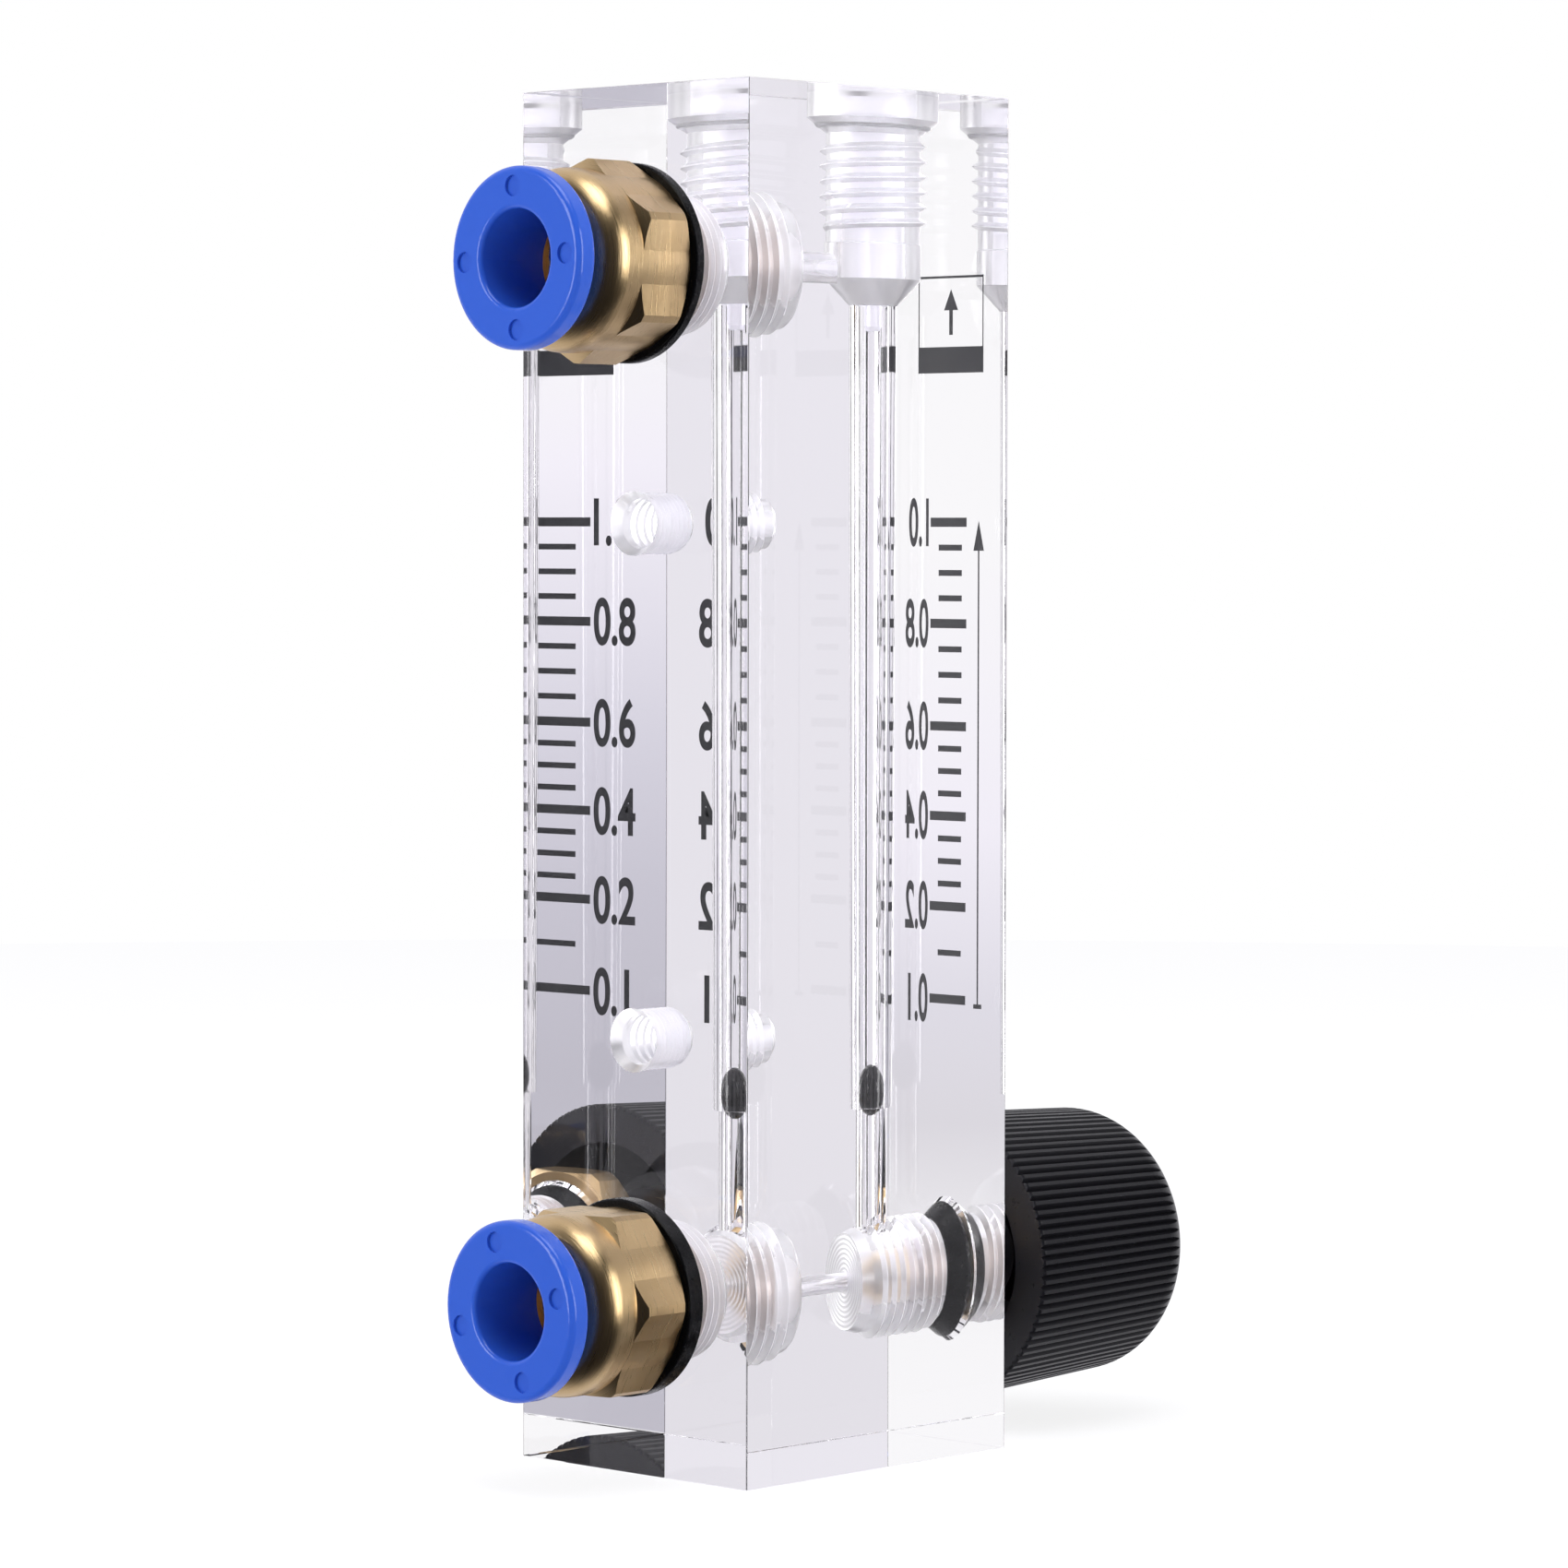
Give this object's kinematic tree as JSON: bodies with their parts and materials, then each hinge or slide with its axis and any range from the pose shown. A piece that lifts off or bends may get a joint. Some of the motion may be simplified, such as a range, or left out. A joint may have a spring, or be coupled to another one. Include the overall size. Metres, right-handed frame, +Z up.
{
  "type": "rotameter",
  "caption": "Clear acrylic block flow meter with a tapered tube and ball float, two push-in tube fittings on the back and a needle valve with a ribbed knob on the front.",
  "frame": {"origin": "centre of the acrylic block's bottom face", "axes": "+Z up along the metering tube; +Y out of the back, where the tube fittings are; the valve knob is on -Y; X across the block"},
  "size_m": [0.0206, 0.0581, 0.09],
  "materials": {
    "acrylic": "clear, flame-polished faces and frosted machined bores",
    "brass": "turned and lightly polished",
    "black_rubber": "smooth nitrile rubber",
    "clear_rubber": "translucent silicone rubber",
    "blue_plastic": "glossy moulded acetal",
    "spring_steel": "bright stamped sheet",
    "stem_steel": "turned stainless steel",
    "black_knob": "moulded, satin with fine ribs",
    "float_black": "polished black glass"
  },
  "bodies": {
    "meter": {"block": "acrylic", "top_plug": "acrylic", "top_plug_o_ring": "clear_rubber", "valve_bushing": "brass", "valve_o_ring": "black_rubber", "inlet_gasket": "black_rubber", "inlet_body": "brass", "inlet_tube_seal": "black_rubber", "inlet_claw": "spring_steel", "inlet_retainer": "brass", "outlet_gasket": "black_rubber", "outlet_body": "brass", "outlet_tube_seal": "black_rubber", "outlet_claw": "spring_steel", "outlet_retainer": "brass"},
    "float": {"float_ball": "float_black"},
    "inlet_ring": {"inlet_release_ring": "blue_plastic"},
    "outlet_ring": {"outlet_release_ring": "blue_plastic"},
    "stem_seal": {"stem_o_ring": "black_rubber"},
    "valve": {"needle_stem": "stem_steel", "knob": "black_knob"}
  },
  "joints": [
    {"name": "float_rise", "type": "slide", "parent": "meter", "child": "float", "axis": [0, 0, 1], "range_m": [0, 0.0486]},
    {"name": "inlet_release", "type": "slide", "parent": "meter", "child": "inlet_ring", "axis": [0, -1, 0], "range_m": [0, 0.001], "stiffness_N_per_m": 1500, "springref_m": -0.0005},
    {"name": "outlet_release", "type": "slide", "parent": "meter", "child": "outlet_ring", "axis": [0, -1, 0], "range_m": [0, 0.001], "stiffness_N_per_m": 1500, "springref_m": -0.0005},
    {"name": "valve_travel", "type": "slide", "parent": "meter", "child": "stem_seal", "axis": [0, 1, 0], "range_m": [-0.0008, 0.0033]},
    {"name": "valve_turn", "type": "hinge", "parent": "stem_seal", "child": "valve", "pos_m": [0, -0.0125, 0.0116], "axis": [0, 1, 0], "range_deg": [-412, 1698]}
  ],
  "couplings": [
    {"joint": "valve_turn", "follows": "valve_travel", "rad_per_m": 8976}
  ]
}
